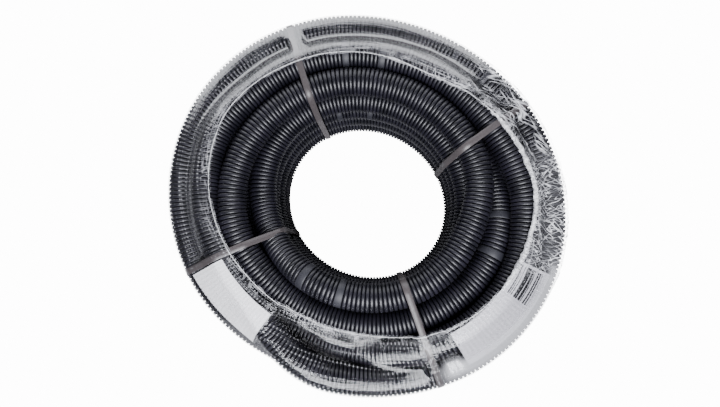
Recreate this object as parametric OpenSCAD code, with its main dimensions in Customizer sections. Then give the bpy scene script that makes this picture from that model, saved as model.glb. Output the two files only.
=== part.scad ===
// A roll of corrugated pool vacuum hose, lying flat as it is sold: the hose is wound
// in upright columns, bound by four flat straps and held in a stretch film that covers
// its outer side and folds over its top shoulder. The film holds a card and a label.
// Millimetres, +Z along the roll's axis, origin under its centre, long axis along X.

/* [Hose] */
// Outside diameter of the hose over its ribs
hose_od = 45; // [40:0.5:50]

/* [Roll] */
// Radius of the innermost column of turns, at the middle of the hose
column_r = 157; // [140:0.5:200]
// Distance between two neighbouring columns of turns
column_pitch = 39.7; // [39:0.1:44]
// Turns in the first and third columns; the second and fourth hold one turn less
tall_turns = 5; // [4:1:7]
// How much longer the roll is along X than along Y
oval_stretch = 40; // [10:1:80]

/* [Straps] */
// Width of a strap
strap_w = 10; // [8:1:16]
// Thickness of a strap
strap_t = 0.8; // [0.6:0.1:1.2]
// Direction of each strap as seen from its end of the roll, in degrees from +X
strap_angles = [59, 142, 238, 318];

/* [Film] */
// Thickness of the film's layers together
film_t = 0.4; // [0.3:0.1:0.8]
// How far the film reaches in over the top, from the roll's outer side
film_fold = 84; // [50:1:90]
// Height of the film's lower edge above the ground
film_base = 4; // [3:0.5:20]

/* [Card and label] */
// Thickness of the card and of the label
paper_t = 0.4; // [0.3:0.1:0.6]
// Width of the white card
card_w = 60; // [40:1:64]
// First and last direction of the card, in degrees from +X
card_angles = [240, 268];
// Width of the barcode label
label_w = 56; // [40:1:60]
// First and last direction of the label, in degrees from +X
label_angles = [-30, 8];

/* [Hidden] */
$fn = 96;

hose_r = hose_od / 2;
columns = 4;
clear = 0.2;
arc_step = 6;
// The grooves between turns are filled to this far from the middle of the hose.
groove_r = 0.45 * hose_r;

// Middle of the hose in each column: its radius, its lowest turn and its highest turn.
function radius(c) = column_r + c * column_pitch;
function stagger(c) = c % 2 == 0 ? 0 : hose_r;
function turns(c) = c % 2 == 0 ? tall_turns : tall_turns - 1;
function lowest(c) = strap_t + hose_r + stagger(c);
function highest(c) = lowest(c) + (turns(c) - 1) * hose_od;

outer_r = radius(columns - 1) + hose_r;
top_z = highest(0) + hose_r;
middle_z = top_z / 2;
far = outer_r + 50;

// Middles of the turns that a taut band round the bundle bears on, in order.
bearing_turns = [
  [radius(0), lowest(0)],
  [radius(2), lowest(2)],
  [radius(3), lowest(3)],
  [radius(3), highest(3)],
  [radius(2), highest(2)],
  [radius(0), highest(0)],
];

// Direction, in degrees, that the side from turn i to the next one faces.
function facing(i) =
  let (n = len(bearing_turns), p = bearing_turns[i % n], q = bearing_turns[(i + 1) % n])
  atan2(p[0] - q[0], q[1] - p[1]);

// Points of an arc of radius r about p, anticlockwise from one direction to another.
function arc(p, r, from, to) =
  let (sweep = (to - from + 360) % 360, steps = ceil(sweep / arc_step))
  [for (k = [0 : steps]) p + r * [cos(from + k * sweep / steps), sin(from + k * sweep / steps)]];

// Section of everything within r of the area that the bearing turns span.
module taut_outline(r) {
  last = len(bearing_turns) - 1;
  polygon([
    for (i = [0 : last], p = arc(bearing_turns[i], r, facing(i + last), facing(i))) p
  ]);
}

// A closed band round the bundle, from one distance off its turns to another.
module taut_band(inside, thickness) {
  difference() {
    taut_outline(hose_r + inside + thickness);
    taut_outline(hose_r + inside);
  }
}

// Sweeps a section, drawn with X as the radius, round the whole oval.
module around_oval() {
  for (end = [0, 180])
    rotate(end) {
      translate([oval_stretch / 2, 0, 0]) rotate(-90) rotate_extrude(angle = 180) children();
      rotate([90, 0, 90]) translate([0, 0, -oval_stretch / 2])
        linear_extrude(oval_stretch) children();
    }
}

// Puts a piece at its direction from the middle of the round end that it lies on.
module at_direction(angle) {
  side = cos(angle) > 0 ? 1 : -1;
  translate([side * oval_stretch / 2, 0, 0]) rotate(angle) children();
}

// Section of the wound bundle: each turn is round, and grooves part the turns.
module bundle_section() {
  g = groove_r;
  inner = radius(0);
  outer = radius(columns - 1);
  polygon(concat(
    [[inner - g, lowest(0)], [inner - g, highest(0)]],
    [for (c = [0 : columns - 1]) [radius(c), highest(c) + g]],
    [[outer + g, highest(columns - 1)], [outer + g, lowest(columns - 1)]],
    [for (c = [columns - 1 : -1 : 0]) [radius(c), lowest(c) - g]]
  ));
  for (c = [0 : columns - 1], k = [0 : turns(c) - 1])
    translate([radius(c), lowest(c) + k * hose_od]) circle(hose_r);
}

module hose() {
  color([0.13, 0.13, 0.16]) around_oval() bundle_section();
}

module strap(i) {
  color([0.42, 0.4, 0.4])
    at_direction(strap_angles[i])
      rotate([90, 0, 0]) translate([0, 0, -strap_w / 2])
        linear_extrude(strap_w) taut_band(0, strap_t);
}

// The film's side of the bundle: its outer wall, its top fold and its lower edge.
module film_side() {
  fold_r = outer_r - film_fold;
  polygon([
    [fold_r, middle_z], [fold_r, 2 * top_z], [far, 2 * top_z],
    [far, film_base], [radius(2), film_base], [radius(2), middle_z]
  ]);
}

module film() {
  color([0.8, 0.82, 0.86, 0.5])
    around_oval()
      intersection() {
        taut_band(strap_t + clear, film_t);
        film_side();
      }
}

// A sheet under the film on the top shoulder, from radius r_in to r_in + width.
module shoulder_sheet(r_in, width, angles) {
  at_direction(angles[0])
    rotate_extrude(angle = angles[1] - angles[0])
      intersection() {
        taut_band(clear, paper_t);
        translate([r_in, middle_z]) square([width, top_z]);
      }
}

module card() {
  color([0.93, 0.93, 0.95])
    shoulder_sheet(radius(3) - 0.88 * card_w, card_w, card_angles);
}

module label() {
  color([0.85, 0.85, 0.88])
    shoulder_sheet(radius(3) - 0.85 * label_w, label_w, label_angles);
}

hose();
strap(0);  // strap_1
strap(1);  // strap_2
strap(2);  // strap_3
strap(3);  // strap_4
film();
card();
label();
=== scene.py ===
import math

import bpy
import numpy as np
from mathutils import Matrix, Vector


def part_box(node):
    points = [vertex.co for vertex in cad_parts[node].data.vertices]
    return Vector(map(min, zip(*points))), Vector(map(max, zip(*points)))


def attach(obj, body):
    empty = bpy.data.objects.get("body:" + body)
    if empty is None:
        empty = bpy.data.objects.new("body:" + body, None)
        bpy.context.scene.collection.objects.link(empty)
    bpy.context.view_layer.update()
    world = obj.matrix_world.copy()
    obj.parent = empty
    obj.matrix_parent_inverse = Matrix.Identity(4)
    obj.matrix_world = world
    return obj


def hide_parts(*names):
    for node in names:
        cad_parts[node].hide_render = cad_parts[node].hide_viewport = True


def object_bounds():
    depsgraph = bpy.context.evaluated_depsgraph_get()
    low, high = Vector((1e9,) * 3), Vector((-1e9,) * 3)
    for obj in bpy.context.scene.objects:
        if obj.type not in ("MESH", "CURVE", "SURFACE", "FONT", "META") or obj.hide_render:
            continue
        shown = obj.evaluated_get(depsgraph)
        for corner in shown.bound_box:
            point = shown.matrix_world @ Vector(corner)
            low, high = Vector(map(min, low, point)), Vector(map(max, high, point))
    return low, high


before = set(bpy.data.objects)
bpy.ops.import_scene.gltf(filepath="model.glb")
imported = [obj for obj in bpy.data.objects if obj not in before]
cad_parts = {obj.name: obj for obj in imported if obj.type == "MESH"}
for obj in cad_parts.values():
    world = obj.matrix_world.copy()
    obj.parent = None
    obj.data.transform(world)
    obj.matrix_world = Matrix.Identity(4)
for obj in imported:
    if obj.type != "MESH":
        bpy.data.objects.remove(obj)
cad_low, cad_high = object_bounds()

# ---------------------------------------------------------------- sizes, metres and degrees

HOSE_OD = 0.045
HOSE_BORE = 0.038
RIB_DEPTH = 0.0027
SECTION = 1.5            # the moulded cuffs repeat at this distance
SECTIONS = 16
RIBS_IN_SECTION = 230
RIB_PITCH = SECTION / RIBS_IN_SECTION
TUBE_SIDES = 20

# Radius of each column of turns, at the middle of the hose
COLUMN_R = [0.167, 0.207, 0.247, 0.286]
OVAL = 0.044             # the roll is this much longer and narrower than round
LEAN = (0.004, -0.007)   # the outer columns' middle, from the eye's
STRAP_W = 0.010

hose_low, hose_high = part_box("hose")
strap_t = hose_low[2] - cad_low[2]
hose_r = HOSE_OD / 2
first_level = hose_low[2] + hose_r


def level(turn, column):
    """Height of the middle of a column's turn, counted from the lowest."""
    return first_level + turn * HOSE_OD + (hose_r if column % 2 else 0.0)


# ---------------------------------------------------------------- camera

PICTURE_TURN = math.radians(29.2)   # the picture's right, turned from the roll's long axis


def in_picture(right, up, height):
    """A place given as the camera shows it: right and up, and its height."""
    c, s = math.cos(PICTURE_TURN), math.sin(PICTURE_TURN)
    return Vector((right * c - up * s, right * s + up * c, height))


def set_camera():
    """Almost straight above the roll, leaning 5.5 degrees."""
    tilt = math.radians(5.5)
    lean = PICTURE_TURN - math.radians(61.3)
    forward = Vector((-math.sin(tilt) * math.cos(lean), -math.sin(tilt) * math.sin(lean),
                      -math.cos(tilt)))
    right = in_picture(1, 0, 0)
    right = (right - forward * right.dot(forward)).normalized()
    up = right.cross(forward)
    data = bpy.data.cameras.new("camera")
    data.sensor_width = 36
    data.lens = 23.4
    camera = bpy.data.objects.new("camera", data)
    bpy.context.scene.collection.objects.link(camera)
    turn = Matrix([[right[i], up[i], -forward[i]] for i in range(3)]).to_4x4()
    camera.matrix_world = Matrix.Translation((0.0637, -0.0530, 0.9252)) @ turn
    bpy.context.scene.camera = camera


set_camera()

# ---------------------------------------------------------------- the winding

# Degrees turned where the hose begins, and where the winding, longer than the hose, ends
FIRST_ANGLE = -168.0
LAST_ANGLE = 6200.0


def smooth(t):
    t = np.clip(t, 0.0, 1.0)
    return t * t * (3 - 2 * t)


def follow(angle, start, moves):
    """A value that changes by smooth moves, each (first angle, last angle, new value)."""
    value, now = np.full_like(angle, start), start
    for first, last, new in moves:
        value += (new - now) * smooth((angle - first) / (last - first))
        now = new
    return value


def winding_moves():
    """Where the hose changes column and level, in degrees turned anticlockwise."""
    c0, c1, c2, c3 = COLUMN_R
    radial, vertical = [], []
    # The first column climbs once a turn, and its top turn eases out over the second.
    for k in range(1, 5):
        vertical.append((360 * k - 150, 360 * k - 80, level(k, 0)))
    top = 1440
    radial += [(top - 200, top - 130, c0 - 0.005), (top - 100, top - 40, c0 - 0.003),
               (top, top + 50, c0 + 0.015), (top + 150, top + 235, c1 - 0.001)]
    vertical.append((top + 215, top + 280, level(3, 1)))
    radial += [(top + 330, top + 380, c1 + 0.005), (top + 400, top + 440, c1)]
    # The second column goes down again, a little tighter.
    for k in (2, 1, 0):
        down = top + 365 + 360 * (2 - k)
        vertical.append((down, down + 50, level(k, 1)))
    radial.append((top + 450, top + 500, c1 - 0.0025))
    low = 2880
    radial.append((low, low + 60, c2 - 0.002))
    vertical.append((low, low + 60, level(0, 2)))
    # The third climbs, and its top turn is pressed in where the first column's leans out.
    for k in range(1, 5):
        up = 3155 + 360 * (k - 1)
        vertical.append((up, up + 60, level(k, 2)))
    last = 4320
    radial += [(last - 60, last - 10, c2), (last, last + 25, c2 - 0.004),
               (last + 25, last + 60, c2 - 0.013), (last + 85, last + 120, c2 - 0.017),
               (last + 160, last + 190, c2 - 0.004), (last + 245, last + 290, c3)]
    vertical.append((last + 270, last + 320, level(3, 3)))
    # The fourth goes down to the hose's outer end.
    for k in (2, 1, 0):
        down = last + 595 + 360 * (2 - k)
        vertical.append((down, down + 60, level(k, 3)))
    return radial, vertical


def route():
    """The hose's middle line as close points, with the angle turned and the length at each."""
    radial, vertical = winding_moves()
    angle = np.arange(FIRST_ANGLE, LAST_ANGLE, 0.25)
    base = follow(angle, COLUMN_R[0], radial)
    height = follow(angle, level(0, 0), vertical)
    # Small unevenness, so that no two turns lie quite alike.
    base = base + 0.0007 * np.sin(np.radians(angle * 1.37)) * np.sin(np.radians(angle * 0.61))
    turned = np.radians(angle)
    radius = base * (1 + OVAL * np.cos(2 * turned))
    out = np.clip((base - COLUMN_R[0]) / (COLUMN_R[3] - COLUMN_R[0]), 0, 1)
    points = np.stack([
        radius * np.cos(turned) + out * LEAN[0],
        radius * np.sin(turned) + out * LEAN[1],
        height,
    ], axis=1)
    length = np.cumsum(np.linalg.norm(np.diff(points, axis=0, prepend=points[:1]), axis=1))
    return angle, points, length


route_angle, route_points, route_length = route()


def at_length(length):
    """Points on the hose's middle line at these distances from its first end."""
    return np.stack([np.interp(length, route_length, route_points[:, i]) for i in range(3)], 1)


# ---------------------------------------------------------------- meshes

def add_mesh(name, verts, faces):
    mesh = bpy.data.meshes.new(name)
    verts = np.asarray(verts, dtype=np.float32)
    faces = np.asarray(faces, dtype=np.int32)
    mesh.vertices.add(len(verts))
    mesh.vertices.foreach_set("co", verts.ravel())
    mesh.loops.add(faces.size)
    mesh.loops.foreach_set("vertex_index", faces.ravel())
    mesh.polygons.add(len(faces))
    starts = np.arange(0, faces.size, faces.shape[1], dtype=np.int32)
    mesh.polygons.foreach_set("loop_start", starts)
    mesh.update(calc_edges=True)
    mesh.polygons.foreach_set("use_smooth", np.ones(len(faces), dtype=bool))
    piece = bpy.data.objects.new(name, mesh)
    bpy.context.scene.collection.objects.link(piece)
    return piece


def grid_faces(rows, columns, close_rows=False, close_columns=False):
    """Quads between the points of a grid, stored row by row."""
    r = np.arange(rows if close_rows else rows - 1)
    c = np.arange(columns if close_columns else columns - 1)
    r0, c0 = np.meshgrid(r, c, indexing="ij")
    r1, c1 = (r0 + 1) % rows, (c0 + 1) % columns
    quad = [r0 * columns + c0, r1 * columns + c0, r1 * columns + c1, r0 * columns + c1]
    return np.stack(quad, axis=-1).reshape(-1, 4)


def tube(name, centres, radii, sides, closed=False):
    """A tube with one ring at each centre, square to its path. radii is one number a ring, or
    one for each point of each ring."""
    if closed:
        along = np.roll(centres, -1, axis=0) - np.roll(centres, 1, axis=0)
    else:
        along = np.gradient(centres, axis=0)
    still = np.linalg.norm(along, axis=1) < 1e-9
    along[still] = np.roll(along, -1, axis=0)[still]
    along /= np.linalg.norm(along, axis=1)[:, None]
    across = np.cross(along, [0.0, 0.0, 1.0])
    across /= np.linalg.norm(across, axis=1)[:, None]
    above = np.cross(across, along)
    turn = np.linspace(0, 2 * math.pi, sides, endpoint=False)
    radii = np.asarray(radii)
    radii = radii[:, None] if radii.ndim == 1 else radii
    rings = centres[:, None] + radii[..., None] * (
        np.cos(turn)[None, :, None] * across[:, None] + np.sin(turn)[None, :, None] * above[:, None]
    )
    faces = grid_faces(len(centres), sides, close_rows=closed, close_columns=True)
    return add_mesh(name, rings.reshape(-1, 3), faces)


def add_uv(piece, u, v):
    """A UV map, in metres, that says where each point of a sheet lies when it is flat."""
    layer = piece.data.uv_layers.new(name="flat")
    index = np.empty(len(piece.data.loops), dtype=np.int32)
    piece.data.loops.foreach_get("vertex_index", index)
    uv = np.stack([u.ravel()[index], v.ravel()[index]], axis=1).astype(np.float32)
    layer.data.foreach_set("uv", uv.ravel())


def add_masks(piece, *masks):
    """Up to three values from 0 to 1 at each point, for the material."""
    layer = piece.data.color_attributes.new(name="masks", type="FLOAT_COLOR", domain="POINT")
    colour = np.ones((len(piece.data.vertices), 4), dtype=np.float32)
    for i, mask in enumerate(masks):
        colour[:, i] = mask.ravel()
    layer.data.foreach_set("color", colour.ravel())


def place(piece, node):
    """Puts a piece on the part's one body, in place of its plain solid."""
    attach(piece, "root")
    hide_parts(node)


# ---------------------------------------------------------------- patterns

def value_noise(u, v, seed, wrap):
    """Smooth random values from 0 to 1, one step of u or v apart; u repeats after wrap."""
    lattice = np.random.default_rng(seed).random((wrap, 257))
    iu, iv = np.floor(u).astype(int), np.floor(v).astype(int)
    fu, fv = smooth(u - iu), smooth(v - iv)
    i0, i1, j0, j1 = iu % wrap, (iu + 1) % wrap, iv % 257, (iv + 1) % 257
    low = lattice[i0, j0] * (1 - fu) + lattice[i1, j0] * fu
    high = lattice[i0, j1] * (1 - fu) + lattice[i1, j1] * fu
    return low * (1 - fv) + high * fv


def creases(u, v, seed, wrap):
    """Sharp-crested folds in three sizes, from 0 to 1."""
    total = weight = 0.0
    for n in range(3):
        noise = value_noise(u * 2 ** n, v * 2 ** n, seed + n, wrap * 2 ** n)
        total = total + 0.55 ** n * (1 - np.abs(2 * noise - 1)) ** 2
        weight += 0.55 ** n
    return total / weight


class Material:
    """A material with a Principled surface, and short ways to add nodes to it."""

    def __init__(self, name):
        self.made = bpy.data.materials.new(name)
        self.made.use_nodes = True
        self.tree = self.made.node_tree
        self.surface = self.tree.nodes["Principled BSDF"]

    def set(self, node, values):
        """Sets or links a node's inputs, each given as a value or as another node's output."""
        for key, value in values.items():
            if isinstance(value, bpy.types.NodeSocket):
                self.tree.links.new(value, node.inputs[key])
            else:
                node.inputs[key].default_value = value

    def add(self, kind, values=None, **settings):
        node = self.tree.nodes.new("ShaderNode" + kind)
        for key, value in settings.items():
            setattr(node, key, value)
        self.set(node, values or {})
        return node

    def where(self):
        """Places in space, in metres."""
        return self.add("TexCoord").outputs["Object"]

    def flat(self, scale, turn=0.0):
        """Places on a flat sheet, scaled to noise steps per metre and turned."""
        uv = self.add("UVMap", uv_map="flat").outputs["UV"]
        turned = self.add("Mapping", {"Vector": uv, "Rotation": (0, 0, math.radians(turn))})
        scaled = self.add("Mapping", {"Vector": turned.outputs["Vector"], "Scale": (*scale, 1)})
        return scaled.outputs["Vector"]

    def noise(self, vector, scale=1.0, detail=3.0, distortion=0.0):
        return self.add("TexNoise", {"Vector": vector, "Scale": scale, "Detail": detail,
                                     "Distortion": distortion}).outputs["Fac"]

    def math(self, operation, a, b=0.0):
        return self.add("Math", {0: a, 1: b}, operation=operation).outputs["Value"]

    def product(self, first, *others):
        """All the values multiplied."""
        for other in others:
            first = self.math("MULTIPLY", first, other)
        return first

    def most(self, first, *others):
        """The largest of the values at each place."""
        for other in others:
            first = self.math("MAXIMUM", first, other)
        return first

    def ranged(self, value, from_min, from_max, to_min, to_max):
        """A value moved from one range to another, and kept inside it."""
        return self.add("MapRange", {
            "Value": value, "From Min": from_min, "From Max": from_max,
            "To Min": to_min, "To Max": to_max,
        }).outputs["Result"]

    def between(self, value, low, high, *stops):
        """A colour that goes from low to high as value goes from one stop to the other."""
        ramp = self.add("ValToRGB", {"Fac": value})
        for element, colour, stop in zip(ramp.color_ramp.elements, (low, high), stops or (0, 1)):
            element.color, element.position = (*colour, 1), stop
        return ramp.outputs["Color"]

    def bump(self, height, distance, strength=1.0):
        return self.add("Bump", {"Height": height, "Distance": distance,
                                 "Strength": strength}).outputs["Normal"]


# ---------------------------------------------------------------- hose

# Each ring of a rib or cuff: its share of the length, and its height from groove to crest.
RIB = [(0.0, 0.0), (0.15, 0.0), (0.23, 0.8), (0.38, 1.0), (0.78, 1.0), (0.92, 0.8)]
CUFF = [(0.0, 0.0), (0.07, 0.0), (0.11, 0.8), (0.17, 0.92), (0.90, 0.92), (0.96, 0.8)]
RIBS_BETWEEN_CUFFS = 7
CUFF_RIBS = 2            # a cuff takes the place of this many ribs


def hose_rings():
    """Distance along the hose and radius of each ring, and whether it is on a cuff or in a
    groove."""
    long_run = RIBS_IN_SECTION - RIBS_BETWEEN_CUFFS - 2 * CUFF_RIBS
    section = ([(1, RIB)] * RIBS_BETWEEN_CUFFS + [(CUFF_RIBS, CUFF)]
               + [(1, RIB)] * long_run + [(CUFF_RIBS, CUFF)])
    lengths, radii, cuff, groove = [], [], [], []
    start = -0.5 * RIBS_BETWEEN_CUFFS * RIB_PITCH
    for _ in range(SECTIONS):
        for ribs, rings in section:
            for share, height in rings:
                lengths.append(start + share * ribs * RIB_PITCH)
                radii.append(hose_r - 0.0001 - RIB_DEPTH * (1 - height))
                cuff.append(ribs > 1 and height > 0)
                groove.append(height == 0)
            start += ribs * RIB_PITCH
    lengths, radii = np.array(lengths), np.array(radii)
    # Both ends are cut inside a cuff.
    cut = (0.5 * RIBS_BETWEEN_CUFFS + 0.3 * CUFF_RIBS) * RIB_PITCH
    kept = (lengths > cut) & (lengths < SECTIONS * SECTION - cut)
    return lengths[kept] - lengths[kept][0], radii[kept], np.array([cuff, groove])[:, kept]


def hose_material():
    m = Material("hose_plastic")
    patches = m.noise(m.where(), 35, 4)
    grain = m.noise(m.where(), 900, 3)
    masks = m.add("VertexColor", layer_name="masks").outputs["Color"]
    masks = m.add("SeparateColor", {"Color": masks})
    cuff, groove = masks.outputs["Red"], masks.outputs["Green"]
    ribs = m.between(patches, (0.004, 0.004, 0.007), (0.010, 0.009, 0.016), 0.35, 0.7)
    tint = m.add("Mix", {0: cuff, 6: ribs, 7: (0.014, 0.014, 0.020, 1)}, data_type="RGBA")
    # Painted shade: the grooves are painted near black and their shine is turned down, for the shade
    # between the ribs.
    shade = m.add("Mix", {0: groove, 6: tint.outputs[2], 7: (0.001, 0.001, 0.002, 1)},
                  data_type="RGBA")
    m.set(m.surface, {
        "Base Color": shade.outputs[2],
        "Roughness": m.math("ADD", m.ranged(patches, 0.3, 0.7, 0.38, 0.46),
                            m.math("MULTIPLY", cuff, 0.15)),
        "Specular IOR Level": m.ranged(groove, 0.0, 1.0, 0.58, 0.04),
        "Normal": m.bump(grain, 0.0002, 0.15),
    })
    return m.made


def make_hose():
    """The whole hose as one corrugated tube, and its length."""
    lengths, radii, masks = hose_rings()
    total = float(lengths[-1])
    inside = np.array([0.08, 0.04, 0.0])     # how far up its bore each end is open
    centres = at_length(np.concatenate([inside, lengths, total - inside[::-1]]))
    bore = np.full(3, HOSE_BORE / 2)
    piece = tube("hose_tube", centres, np.concatenate([bore, radii, bore]), TUBE_SIDES)
    add_masks(piece, *(np.repeat(np.pad(mask, 3), TUBE_SIDES) for mask in masks))
    piece.data.materials.append(hose_material())
    place(piece, "hose")
    return total


hose_length = make_hose()
hose_turned = float(np.interp(hose_length, route_length, route_angle))

# ---------------------------------------------------------------- the roll's taut outside

STATIONS = 1600
PROFILE_WAYS = np.radians(np.arange(118, -86, -2.0))
RIM = int(np.searchsorted(-PROFILE_WAYS, 0.0))     # the way that faces straight out
END_COVER = 9            # degrees that the last turn counts past its end, under the film
around = np.arange(STATIONS) * 360 / STATIONS


def soften(values, reach):
    """Evens values out along their first axis, which runs once round the roll."""
    k = np.arange(-3 * reach, 3 * reach + 1)
    weight = np.exp(-0.5 * (k / reach) ** 2)
    weight /= weight.sum()
    return sum(w * np.roll(values, int(i), axis=0) for i, w in zip(k, weight))


def turns_at_stations():
    """Radius and height of the middle of every turn at every station; far off where the hose
    hasn't begun or has ended. It counts as a little longer, so that the film covers its end."""
    turned = around[:, None] + 360 * np.arange(-1, 18)[None, :]
    there = (turned >= FIRST_ANGLE) & (turned <= hose_turned + END_COVER)
    x, y, z = (np.interp(turned, route_angle, route_points[:, i]) for i in range(3))
    return np.where(there, np.hypot(x, y), -9), np.where(there, z, -9)


def outside_profiles():
    """The taut outside of the wound hose at every station: radius and height, from its top
    shoulder out over the rim and down its side."""
    points = []
    for way in PROFILE_WAYS:
        best = (turn_r * math.cos(way) + turn_z * math.sin(way)).argmax(axis=1)[:, None]
        points.append(np.stack([
            np.take_along_axis(turn_r, best, 1)[:, 0] + hose_r * math.cos(way),
            np.take_along_axis(turn_z, best, 1)[:, 0] + hose_r * math.sin(way),
        ], axis=1))
    return soften(np.stack(points, axis=1), 10)


turn_r, turn_z = turns_at_stations()
outside = outside_profiles()


def on_top(turned, radius, lift):
    """Points on the roll's taut top, lift above it, at each direction and radius."""
    station = np.rint(turned * STATIONS / 360).astype(int) % STATIONS
    height = np.empty_like(radius)
    for i in np.ndindex(radius.shape):
        height[i] = np.interp(radius[i], outside[station[i], :RIM, 0], outside[station[i], :RIM, 1])
    turned = np.radians(turned)
    return np.stack([radius * np.cos(turned), radius * np.sin(turned), height + lift], axis=-1)


# ---------------------------------------------------------------- straps

# Where each strap's upright plane meets the roll's long axis, and its direction.
STRAP_PLANES = [(0.040, 65.1), (-0.048, 136.7), (0.0006, 233.4), (0.020, 319.0)]


def convex_outline(points):
    """The corners of the convex outline of flat points, anticlockwise."""
    points = points[np.lexsort((points[:, 1], points[:, 0]))]

    def half(run):
        kept = []
        for p in run:
            while len(kept) > 1 and (
                (kept[-1][0] - kept[-2][0]) * (p[1] - kept[-2][1])
                <= (kept[-1][1] - kept[-2][1]) * (p[0] - kept[-2][0])
            ):
                kept.pop()
            kept.append(p)
        return kept[:-1]

    return np.array(half(points) + half(points[::-1]))


def strap_loop(base, way, side):
    """The taut loop that a strap takes round the hose in its own upright plane."""
    middle = route_points[route_length <= hose_length]
    off = (middle[:, :2] - [base, 0]) @ side
    out = (middle[:, :2] - [base, 0]) @ way
    cut = np.flatnonzero((off[:-1] * off[1:] <= 0) & (out[:-1] > 0))
    run = middle[cut + 1, :2] - middle[cut, :2]
    slant = np.abs(run @ side) / np.linalg.norm(run, axis=1)
    turn = np.linspace(0, 2 * math.pi, 72, endpoint=False)
    across = out[cut, None] + hose_r / slant[:, None] * np.cos(turn)
    height = np.maximum(middle[cut, 2][:, None] + hose_r * np.sin(turn), strap_t)
    corners = convex_outline(np.stack([across.ravel(), height.ravel()], axis=1))
    closed = np.vstack([corners, corners[:1]])
    along = np.concatenate([[0], np.cumsum(np.linalg.norm(np.diff(closed, axis=0), axis=1))])
    at = np.linspace(0, along[-1], int(along[-1] / 0.0025), endpoint=False)
    return np.stack([np.interp(at, along, closed[:, i]) for i in range(2)], axis=1)


def make_strap(i, made):
    """One flat strap, taut round the real turns in its own plane."""
    base, direction = STRAP_PLANES[i]
    way = np.array([math.cos(math.radians(direction)), math.sin(math.radians(direction))])
    side = np.array([-way[1], way[0]])
    loop = strap_loop(base, way, side)
    along = np.roll(loop, -1, axis=0) - np.roll(loop, 1, axis=0)
    along /= np.linalg.norm(along, axis=1)[:, None]
    outward = np.stack([along[:, 1], -along[:, 0]], axis=1)
    half, edge = STRAP_W / 2, 0.0002
    # The strap's section: how far across it and how far out from the hose.
    section = [(-half, 0.0), (-half, strap_t - edge), (-half + edge, strap_t),
               (half - edge, strap_t), (half, strap_t - edge), (half, 0.0)]
    rings = []
    for across, out in section:
        flat = loop + outward * out
        spot = np.array([base, 0]) + flat[:, :1] * way + across * side
        rings.append(np.column_stack([spot, np.maximum(flat[:, 1], 0.0)]))
    faces = grid_faces(len(loop), len(section), close_rows=True, close_columns=True)
    piece = add_mesh(f"strap_band_{i + 1}", np.stack(rings, axis=1).reshape(-1, 3), faces)
    piece.data.materials.append(made)
    place(piece, f"strap_{i + 1}")


def strap_material():
    m = Material("strap_plastic")
    weave = m.noise(m.where(), 420, 3)
    m.set(m.surface, {
        "Base Color": m.between(weave, (0.050, 0.043, 0.044), (0.078, 0.068, 0.069)),
        "Roughness": m.ranged(weave, 0.3, 0.7, 0.33, 0.48),
        "Normal": m.bump(weave, 0.0002, 0.25),
    })
    return m.made


strap_made = strap_material()
for number in range(4):
    make_strap(number, strap_made)

# ---------------------------------------------------------------- card and label

# First and last direction of each, in degrees.
CARD_TURN = (235.2, 263)
LABEL_TURN = (-29, 5.5)
# Middle and half width of the label's block of bars, along the label and across it.
BARS_ALONG = (0.133, 0.024)
BARS_ACROSS = (0.0265, 0.0185)


def make_paper(name, node, turned, radius, relief, lift, made):
    """A thin sheet on the roll's shoulder: its rows and columns run round the roll and out,
    and the ribs under it press through a little."""
    t, r = np.meshgrid(turned, radius, indexing="ij")
    u, v = np.radians(t - turned[0]) * r.mean(), r - radius[0]
    ribs = np.cos(2 * math.pi * u / RIB_PITCH) * relief
    sag = value_noise(u / 0.03, v / 0.02, 5, 64) * 0.0004
    points = on_top(t, r * (1 + OVAL * np.cos(2 * np.radians(t))), lift + ribs - sag)
    piece = add_mesh(name, points.reshape(-1, 3), grid_faces(*t.shape))
    add_uv(piece, u, v)
    piece.data.materials.append(made)
    place(piece, node)


def card_material():
    m = Material("card_white")
    fibres = m.noise(m.where(), 500, 4)
    m.set(m.surface, {
        "Base Color": m.between(fibres, (0.86, 0.85, 0.86), (0.95, 0.94, 0.95), 0.3, 0.7),
        "Roughness": m.ranged(fibres, 0.3, 0.7, 0.5, 0.7),
        "Normal": m.bump(fibres, 0.0003, 0.3),
    })
    return m.made


def label_material():
    """A light grey label with a block of plain bars near its upper end."""
    m = Material("label_grey")
    fibres = m.noise(m.where(), 450, 4)
    paper = m.between(fibres, (0.47, 0.46, 0.49), (0.58, 0.57, 0.60), 0.3, 0.7)
    bars = m.math("GREATER_THAN", m.noise(m.flat((2, 340)), 1, 1), 0.5)
    spot = m.add("SeparateXYZ", {"Vector": m.flat((1, 1))})
    for axis, middle, half in (("X", *BARS_ALONG), ("Y", *BARS_ACROSS)):
        off = m.math("ABSOLUTE", m.math("SUBTRACT", spot.outputs[axis], middle))
        bars = m.math("MULTIPLY", bars, m.math("LESS_THAN", off, half))
    mixed = m.add("Mix", {0: bars, 6: paper, 7: (0.008, 0.008, 0.01, 1)}, data_type="RGBA")
    m.set(m.surface, {
        "Base Color": mixed.outputs[2],
        "Roughness": m.ranged(fibres, 0.3, 0.7, 0.4, 0.6),
        "Normal": m.bump(fibres, 0.0003, 0.25),
    })
    return m.made


make_paper("card_sheet", "card", np.linspace(*CARD_TURN, 120), np.linspace(0.238, 0.298, 50),
           0.00025, 0.0006, card_material())
make_paper("label_sheet", "label", np.linspace(*LABEL_TURN, 140), np.linspace(0.240, 0.296, 50),
           0.0002, 0.0006, label_material())

# ---------------------------------------------------------------- film

# Radius of the film's inner edge, in millimetres, every 30 degrees round the roll.
FILM_EDGE = [239, 248, 232, 213, 218, 221, 231, 226, 219, 214, 219, 231]
FILM_BASE = 0.004
FILM_GAP = 0.0012
FILM_R = 0.3             # the film's flat length is measured round the roll at this radius
SHOULDER_R = 0.27        # where the straps cross the top shoulder
PROFILE_POINTS = 110


def fades(first, last, ramp):
    """1 between two directions, easing to 0 over ramp degrees outside them."""
    off = np.abs((around - (first + last) / 2 + 180) % 360 - 180)
    return smooth(1 - (off - (last - first) / 2) / ramp)[:, None]


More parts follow.
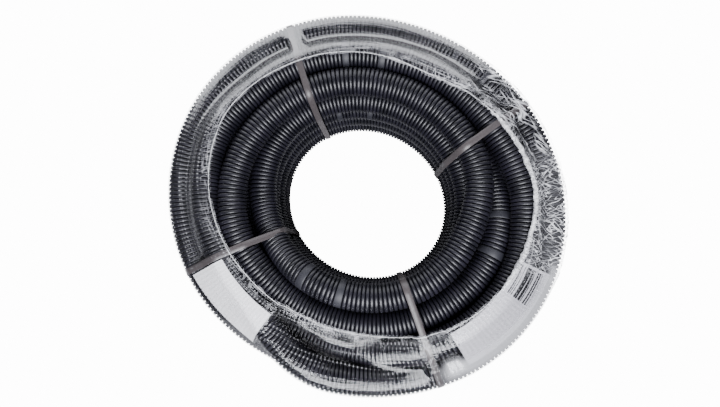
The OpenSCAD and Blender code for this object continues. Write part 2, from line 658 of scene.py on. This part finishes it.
def film_sag(radius, height, facing):
    """How far the film is drawn in towards the hose between turns, most on the top shoulder."""
    away = [np.hypot(radius - turn_r[:, i, None], height - turn_z[:, i, None])
            for i in range(turn_r.shape[1])]
    gap = np.maximum(np.min(away, axis=0) - hose_r - FILM_GAP, 0)
    for _ in range(6):
        gap[:, 1:-1] = 0.5 * gap[:, 1:-1] + 0.25 * (gap[:, :-2] + gap[:, 2:])
    sag = soften(gap, 6) * (0.2 + 0.6 * smooth((facing - 0.2) / 0.6))
    # The card, the label and the straps hold it off.
    held_off = [CARD_TURN, LABEL_TURN]
    for base, direction in STRAP_PLANES:
        way = math.radians(direction)
        across, along = SHOULDER_R * math.sin(way), base + SHOULDER_R * math.cos(way)
        over = math.degrees(math.atan2(across, along))
        held_off.append((over - 1.4, over + 1.4))
    for first, last in held_off:
        sag *= 1 - fades(first, last, 2.5)
    return sag


def film_lines():
    """Radius and height over the film, from its inner edge to its lower edge, and the
    direction that it faces there."""
    way = np.stack([np.cos(PROFILE_WAYS), np.sin(PROFILE_WAYS)], axis=1)
    skin = outside + way * FILM_GAP
    steps = np.arange(0, 361, 30)
    edge = soften(np.interp(around, steps, FILM_EDGE + FILM_EDGE[:1]), 12) / 1000
    edge = edge * (1 + OVAL * np.cos(2 * np.radians(around)))
    lines = []
    for row, inner in zip(skin, edge):
        length = np.cumsum(np.linalg.norm(np.diff(row, axis=0, prepend=row[:1]), axis=1))
        length += np.arange(len(length)) * 1e-9
        first = np.interp(inner, row[:RIM, 0], length[:RIM])
        last = np.interp(-FILM_BASE, -row[RIM:, 1], length[RIM:])
        at = np.linspace(first, last, PROFILE_POINTS)
        columns = (row[:, 0], row[:, 1], PROFILE_WAYS)
        lines.append(np.stack([np.interp(at, length, column) for column in columns]))
    radius, height, facing = np.array(lines).transpose(1, 0, 2)
    sag = film_sag(radius, height, facing)
    return radius - sag * np.cos(facing), height - sag * np.sin(facing), facing


def film_creases(m, patches, crumpled, gathered):
    """Bright creases, white partly from real whitening and partly as painted highlight: swept or
    short ones in patches where the film is crumpled, and fine ones along its gathered edge."""

    def strokes(turn, scale, width):
        """Thin lines that run mostly one way."""
        off = m.math("SUBTRACT", m.noise(m.flat(scale, turn), 1, 0.5, 0.15), 0.5)
        return m.ranged(m.math("ABSOLUTE", off), 0.0, width, 1.0, 0.0)

    swept = m.most(strokes(30, (17, 105), 0.04), strokes(-12, (15, 95), 0.035))
    short = m.most(strokes(28, (160, 36), 0.038), strokes(-24, (145, 32), 0.034))
    # The short ones lie next to the label, and are denser there.
    along = m.add("SeparateXYZ", {"Vector": m.flat((1, 1))}).outputs["X"]
    upper = m.ranged(along, 0.20, 0.23, 0.0, 1.0)
    fanned = m.math("ADD", m.product(swept, upper),
                    m.product(short, m.math("SUBTRACT", 1.0, upper)))
    dense = m.product(m.ranged(along, 0.17, 0.21, 1.0, 0.0),
                      m.ranged(patches, 0.34, 0.48, 0.15, 1.0))
    patchy = m.most(m.ranged(patches, 0.43, 0.57, 0.0, 1.0), dense)
    fanned = m.product(fanned, patchy, crumpled)
    fine = m.most(strokes(3, (9, 210), 0.045), strokes(40, (150, 60), 0.03))
    fine = m.product(fine, m.product(gathered, m.ranged(patches, 0.36, 0.5, 0.15, 1.0)))
    return m.most(fanned, m.product(fine, 0.85))


def film_material():
    """Clear film with a sheen, milky where it lies in layers, white on its creases partly as painted
    highlight, and with painted highlights where it clings to the ribs.
    """
    m = Material("film_clear")
    masks = m.add("VertexColor", layer_name="masks").outputs["Color"]
    masks = m.add("SeparateColor", {"Color": masks})
    folded, crumpled, gathered = (masks.outputs[c] for c in ("Red", "Green", "Blue"))
    # Long lines round the roll, where the film is pulled tight.
    lines = m.noise(m.flat((7, 330)), 1, 4)
    # Where it clings to the ribs, about 139 times in a metre, it glints: the bump adds real glints,
    # and white dashes there are painted highlights.
    cling = m.add("TexWave", {"Vector": m.flat((1, 1)), "Scale": 137 / math.pi,
                              "Distortion": 0.6, "Detail": 1, "Detail Scale": 40},
                  bands_direction="X").outputs["Fac"]
    # Painted highlights: white dashes where the film clings to the rib crests, for light glinting
    # there.
    painted_cling_glints = m.product(m.ranged(cling, 0.7, 1.0, 0.0, 0.4), m.ranged(lines, 0.53, 0.64, 0.0, 1.0),
                      m.math("SUBTRACT", 1.0, crumpled))
    patches = m.noise(m.flat((18, 34)), 1, 2)
    crease_whitening_and_glints = film_creases(m, patches, crumpled, gathered)
    # White here is partly the real milkiness of layered and creased film and partly painted
    # highlight, on the creases and at the cling marks.
    milk_and_painted_glints = m.most(m.product(crease_whitening_and_glints, 0.95), folded,
                  m.most(painted_cling_glints, m.ranged(lines, 0.55, 0.8, 0.0, 0.05)))
    height = m.math("ADD", m.product(lines, 0.8), m.product(crease_whitening_and_glints, 0.6))
    height = m.math("ADD", height, m.product(cling, patches, 0.35))
    normal = m.bump(height, 0.0010, 0.6)
    m.set(m.surface, {
        "Base Color": m.between(patches, (0.83, 0.83, 0.86), (0.91, 0.91, 0.94), 0.3, 0.7),
        "Roughness": m.ranged(patches, 0.3, 0.7, 0.24, 0.38),
        "Normal": normal,
    })
    clear = m.add("BsdfTransparent", {"Color": (0.965, 0.965, 0.97, 1)})
    milky = m.add("MixShader", {0: milk_and_painted_glints, 1: clear.outputs[0], 2: m.surface.outputs[0]})
    shine = m.add("BsdfGlossy", {"Roughness": m.ranged(patches, 0.3, 0.7, 0.07, 0.15),
                                 "Normal": normal})
    fresnel = m.add("Fresnel", {"IOR": 1.5, "Normal": normal}).outputs[0]
    dulled = m.ranged(m.most(crumpled, gathered), 0.0, 1.0, 1.0, 0.25)
    share = m.product(m.math("MINIMUM", m.product(fresnel, 0.85), 0.24), dulled)
    whole = m.add("MixShader", {0: share, 1: milky.outputs[0], 2: shine.outputs[0]})
    m.set(m.tree.nodes["Material Output"], {"Surface": whole.outputs[0]})
    return m.made


def film_folds(u, v):
    """How far the film stands off its taut shape; how white it is, milky where it lies in layers and
    partly painted highlight on its fold ridges; and how crumpled and gathered it is.
    """
    loop = u[-1, 0] + u[1, 0]
    crumpled = fades(8, 72, 8) * smooth((0.150 - v) / 0.05)
    gathered = (0.45 + 0.55 * fades(0, 105, 20)) * smooth((0.026 - v) / 0.020)
    bend = value_noise(u / loop * 24, v * 12, 7, 24) * 0.05
    fans = creases(u / loop * 260 + (v + bend) * 60, (u * 0.5 + v) * 30, 11, 260)
    small = creases(u / loop * 420 - v * 80, v * 110, 23, 420)
    folds = np.clip(0.6 * fans + 0.4 * small, 0, 1)
    ripple = value_noise(u / loop * 36, v * 160, 31, 36)
    stand = 0.0035 * crumpled * folds + 0.0015 * gathered * small + 0.0005 * ripple
    # Partly painted highlight: white on the fold ridges of the crumpled side and the gathered edge,
    # as well as real whitening.
    milky = 0.3 * crumpled * smooth((folds - 0.86) / 0.1)
    milky = milky + 0.25 * gathered * smooth((small - 0.85) / 0.12)
    # Layers lie over the label's outer side, and thinly over the crumpled side.
    milky = milky + 0.5 * fades(-33, 5, 6) * smooth((v - 0.050) / 0.015) * smooth((0.100 - v) / 0.025)
    milky = milky + 0.04 * fades(8, 38, 8) * smooth((0.11 - v) / 0.03)
    return stand, np.clip(milky, 0, 1), crumpled, gathered


def make_film():
    """The film as one sheet, from its inner edge over the shoulder and down the outer side."""
    radius, height, facing = film_lines()
    turned = np.radians(around)[:, None]
    step = np.hypot(np.diff(radius, axis=1, prepend=radius[:, :1]),
                    np.diff(height, axis=1, prepend=height[:, :1]))
    v = np.cumsum(step, axis=1)
    u = np.repeat(turned * FILM_R, PROFILE_POINTS, axis=1)
    stand, *masks = film_folds(u, v)
    radius, height = radius + stand * np.cos(facing), height + stand * np.sin(facing)
    verts = np.stack([radius * np.cos(turned), radius * np.sin(turned), height], axis=2)
    faces = grid_faces(STATIONS, PROFILE_POINTS, close_rows=True)
    film = add_mesh("film_wrap", verts.reshape(-1, 3), faces)
    add_uv(film, u, v)
    add_masks(film, *masks)
    film.data.materials.append(film_material())
    place(film, "film")
    rolled = make_rolled_edge(verts[:, 1])


def rolled_material():
    m = Material("film_rolled")
    streaks = m.noise(m.where(), 300, 5, 1.0)
    m.set(m.surface, {
        "Base Color": m.between(streaks, (0.60, 0.60, 0.62), (0.95, 0.95, 0.96), 0.35, 0.6),
        "Roughness": m.ranged(streaks, 0.3, 0.7, 0.2, 0.4),
        "Alpha": m.ranged(streaks, 0.35, 0.6, 0.3, 0.97),
        "Normal": m.bump(streaks, 0.001, 0.6),
    })
    return m.made


def make_rolled_edge(line):
    """The film's inner edge, rolled up on itself into a thin rope, thickest where it gathers."""
    sides = 12
    thick = fades(2, 52, 12)
    lumps = creases(around[:, None] * 120 / 360 + np.zeros(sides), np.arange(sides) * 0.5, 41, 120)
    radii = (0.0006 + 0.0030 * thick) * (0.5 + lumps)
    lifted = np.pad(0.0004 + 0.0018 * thick, ((0, 0), (2, 0)))
    rolled = tube("film_rolled_edge", line + lifted, radii, sides, closed=True)
    rolled.data.materials.append(rolled_material())
    place(rolled, "film")
    return rolled


make_film()

# ---------------------------------------------------------------- light and floor

COOL = (0.93, 0.945, 1.0)


def soft_light(name, spot, size, power):
    light = bpy.data.lights.new(name, "AREA")
    light.shape = "RECTANGLE"
    light.size, light.size_y = size
    light.energy, light.color = power, COOL
    lamp = bpy.data.objects.new(name, light)
    lamp.location = spot
    lamp.rotation_euler = (Vector((0, 0, 0.1)) - spot).to_track_quat("-Z", "Y").to_euler()
    bpy.context.scene.collection.objects.link(lamp)


def make_world():
    world = bpy.data.worlds.new("studio")
    world.use_nodes = True
    back = world.node_tree.nodes["Background"]
    back.inputs["Color"].default_value = (*COOL, 1)
    back.inputs["Strength"].default_value = 0.05
    bpy.context.scene.world = world


def make_floor():
    """A pale studio floor that the camera sees lit evenly, with no shadow on it."""
    floor = add_mesh("floor", [(-4, -4, 0), (4, -4, 0), (4, 4, 0), (-4, 4, 0)], [(0, 1, 2, 3)])
    m = Material("floor_white")
    m.set(m.surface, {"Base Color": (0.4, 0.4, 0.41, 1), "Roughness": 0.9})
    glow = m.add("Emission", {"Strength": 14.0})
    seen = m.add("LightPath").outputs["Is Camera Ray"]
    mixed = m.add("MixShader", {0: seen, 1: m.surface.outputs[0], 2: glow.outputs[0]})
    m.set(m.tree.nodes["Material Output"], {"Surface": mixed.outputs[0]})
    floor.data.materials.append(m.made)


soft_light("overhead", in_picture(0.05, -0.95, 1.42), (1.0, 1.0), 74)
soft_light("far_wall", in_picture(-0.15, 1.5, 0.8), (3.8, 1.5), 62)
make_world()
make_floor()
